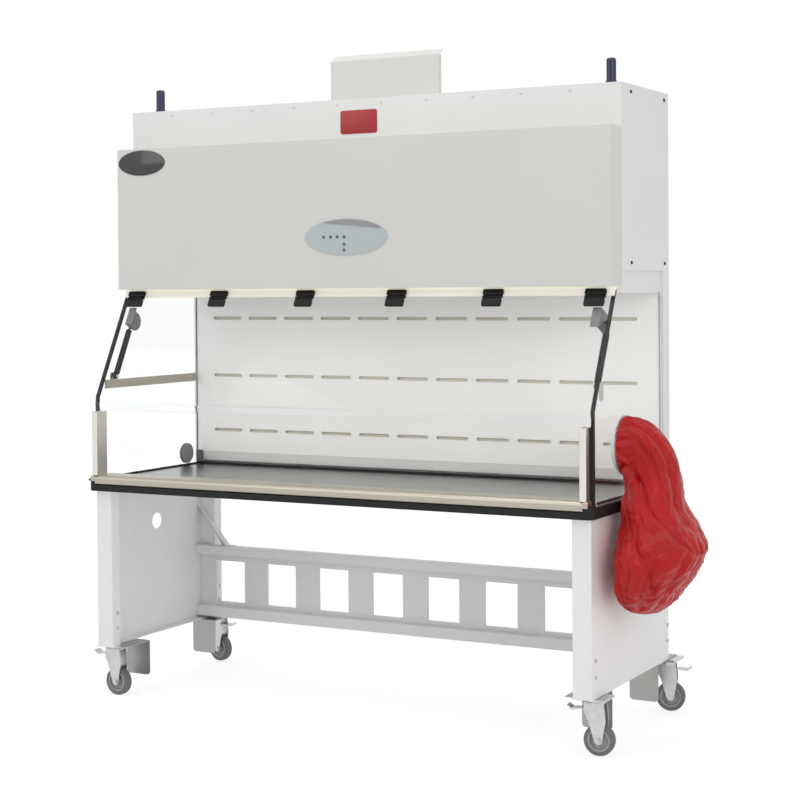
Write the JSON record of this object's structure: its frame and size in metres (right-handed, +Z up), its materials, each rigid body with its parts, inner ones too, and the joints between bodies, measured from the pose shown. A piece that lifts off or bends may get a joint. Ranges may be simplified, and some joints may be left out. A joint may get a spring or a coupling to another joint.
{
  "type": "biological safety cabinet",
  "caption": "Wide ventilated work enclosure with a sloping hinged front window, clear side walls, a slotted rear wall and an upper filter case, on a rolling stand with a waste bag.",
  "frame": {"origin": "on the floor, under the middle of the whole object's box, bag and pedals included", "axes": "+X to the user's right, +Y from the front to the back, +Z up"},
  "size_m": [2.297, 0.8274, 2.345],
  "materials": {
    "painted_shell": "satin",
    "painted_stand": "satin",
    "stainless": "brushed",
    "work_steel": "brushed",
    "zinc": "satin",
    "clear_wall": "polished",
    "clear_window": "polished",
    "black_rubber": "matte",
    "grey_rubber": "matte",
    "wheel_rubber": "matte",
    "wheel_hub": "satin",
    "black_metal": "satin",
    "grey_metal": "satin",
    "blue_plastic": "gloss",
    "red_film": "satin",
    "overlay": "satin",
    "diffuser": "satin",
    "filter_pack": "satin",
    "grey_plastic": "satin",
    "fan_metal": "satin"
  },
  "bodies": {
    "cabinet": {"upper_case": "painted_shell", "fascia_panel": "painted_shell", "control_overlay": "overlay", "exhaust_shield": "painted_shell", "exhaust_filter": "filter_pack", "supply_filter": "filter_pack", "ceiling_plenum": "painted_shell", "rear_plenum": "painted_shell", "slotted_wall": "stainless", "blower_housing": "fan_metal", "blower_motor": "grey_metal", "status_lamps": "blue_plastic", "hinge_rail": "grey_metal", "light_diffuser": "diffuser", "edge_gaskets": "black_rubber", "corner_posts": "stainless", "port_cover": "grey_plastic", "port_plug": "grey_rubber", "waste_ring": "grey_plastic", "waste_bag": "red_film", "table_frame": "painted_shell", "work_surface": "work_steel", "armrest": "stainless", "bumper": "black_rubber", "hinge_upper_leaves": "black_metal", "strut_mounts": "stainless", "stretcher": "painted_stand", "braces": "painted_stand", "leg_bolts": "zinc", "caster_plates": "zinc", "guard_plates": "stainless", "leg_left": "painted_stand", "side_wall_left": "clear_wall", "leg_right": "painted_stand", "side_wall_right": "clear_wall"},
    "window": {"window_pane": "clear_window", "window_lip": "clear_window", "hinge_lower_leaves": "black_metal", "strut_brackets": "grey_metal"},
    "impeller": {"blower_impeller": "fan_metal"},
    "strut_tube_left": {"strut_cylinder_left": "black_metal"},
    "strut_plunger_left": {"strut_rod_left": "zinc"},
    "strut_tube_right": {"strut_cylinder_right": "black_metal"},
    "strut_plunger_right": {"strut_rod_right": "zinc"},
    "swivel_front_left": {"fork_front_left": "zinc"},
    "wheel_front_left": {"tread_front_left": "wheel_rubber", "hub_front_left": "wheel_hub"},
    "brake_front_left": {"pedal_front_left": "zinc"},
    "swivel_front_right": {"fork_front_right": "zinc"},
    "wheel_front_right": {"tread_front_right": "wheel_rubber", "hub_front_right": "wheel_hub"},
    "brake_front_right": {"pedal_front_right": "zinc"},
    "swivel_rear_left": {"fork_rear_left": "zinc"},
    "wheel_rear_left": {"tread_rear_left": "wheel_rubber", "hub_rear_left": "wheel_hub"},
    "brake_rear_left": {"pedal_rear_left": "zinc"},
    "swivel_rear_right": {"fork_rear_right": "zinc"},
    "wheel_rear_right": {"tread_rear_right": "wheel_rubber", "hub_rear_right": "wheel_hub"},
    "brake_rear_right": {"pedal_rear_right": "zinc"}
  },
  "joints": [
    {"name": "window_hinge", "type": "hinge", "parent": "cabinet", "child": "window", "pos_m": [-0.10793, -0.20274, 1.462], "axis": [-1, 0, 0], "range_deg": [0, 75]},
    {"name": "strut_tilt_left", "type": "hinge", "parent": "cabinet", "child": "strut_tube_left", "pos_m": [-1.06093, -0.28375, 1.175], "axis": [1, 0, 0], "range_deg": [0, 26.3]},
    {"name": "strut_slide_left", "type": "slide", "parent": "strut_tube_left", "child": "strut_plunger_left", "axis": [0, 0.4496, 0.8932], "range_m": [0, 0.0212]},
    {"name": "strut_tilt_right", "type": "hinge", "parent": "cabinet", "child": "strut_tube_right", "pos_m": [0.84507, -0.28375, 1.175], "axis": [1, 0, 0], "range_deg": [0, 26.3]},
    {"name": "strut_slide_right", "type": "slide", "parent": "strut_tube_right", "child": "strut_plunger_right", "axis": [0, 0.4496, 0.8932], "range_m": [0, 0.0212]},
    {"name": "swivel_front_left", "type": "hinge", "parent": "cabinet", "child": "swivel_front_left", "pos_m": [-1.05793, -0.30375, 0.173], "axis": [0, 0, 1], "continuous": true},
    {"name": "roll_front_left", "type": "hinge", "parent": "swivel_front_left", "child": "wheel_front_left", "pos_m": [-1.04394, -0.30424, 0.0508], "axis": [0.0349, 0.9994, 0], "continuous": true},
    {"name": "pedal_front_left", "type": "hinge", "parent": "swivel_front_left", "child": "brake_front_left", "pos_m": [-1.08092, -0.30295, 0.148], "axis": [-0.0349, -0.9994, 0], "range_deg": [0, 14]},
    {"name": "swivel_front_right", "type": "hinge", "parent": "cabinet", "child": "swivel_front_right", "pos_m": [0.84207, -0.30375, 0.173], "axis": [0, 0, 1], "continuous": true},
    {"name": "roll_front_right", "type": "hinge", "parent": "swivel_front_right", "child": "wheel_front_right", "pos_m": [0.85593, -0.3018, 0.0508], "axis": [-0.1392, 0.9903, 0], "continuous": true},
    {"name": "pedal_front_right", "type": "hinge", "parent": "swivel_front_right", "child": "brake_front_right", "pos_m": [0.81929, -0.30695, 0.148], "axis": [0.1392, -0.9903, 0], "range_deg": [0, 14]},
    {"name": "swivel_rear_left", "type": "hinge", "parent": "cabinet", "child": "swivel_rear_left", "pos_m": [-1.05793, 0.36625, 0.173], "axis": [0, 0, 1], "continuous": true},
    {"name": "roll_rear_left", "type": "hinge", "parent": "swivel_rear_left", "child": "wheel_rear_left", "pos_m": [-1.04415, 0.36382, 0.0508], "axis": [0.1736, 0.9848, 0], "continuous": true},
    {"name": "pedal_rear_left", "type": "hinge", "parent": "swivel_rear_left", "child": "brake_rear_left", "pos_m": [-1.03528, 0.36226, 0.148], "axis": [0.1736, 0.9848, 0], "range_deg": [0, 14]},
    {"name": "swivel_rear_right", "type": "hinge", "parent": "cabinet", "child": "swivel_rear_right", "pos_m": [0.84207, 0.36625, 0.173], "axis": [0, 0, 1], "continuous": true},
    {"name": "roll_rear_right", "type": "hinge", "parent": "swivel_rear_right", "child": "wheel_rear_right", "pos_m": [0.85565, 0.36964, 0.0508], "axis": [-0.2419, 0.9703, 0], "continuous": true},
    {"name": "pedal_rear_right", "type": "hinge", "parent": "swivel_rear_right", "child": "brake_rear_right", "pos_m": [0.86438, 0.37181, 0.148], "axis": [-0.2419, 0.9703, 0], "range_deg": [0, 14]},
    {"name": "impeller_spin", "type": "hinge", "parent": "cabinet", "child": "impeller", "pos_m": [-0.10793, 0.09825, 1.85], "axis": [1, 0, 0], "continuous": true}
  ],
  "couplings": [
    {"joint": "strut_tilt_left", "follows": "window_hinge", "ratio": 0.34797},
    {"joint": "strut_slide_left", "follows": "window_hinge", "m_per_rad": 0.015964},
    {"joint": "strut_tilt_right", "follows": "window_hinge", "ratio": 0.34797},
    {"joint": "strut_slide_right", "follows": "window_hinge", "m_per_rad": 0.015964}
  ]
}
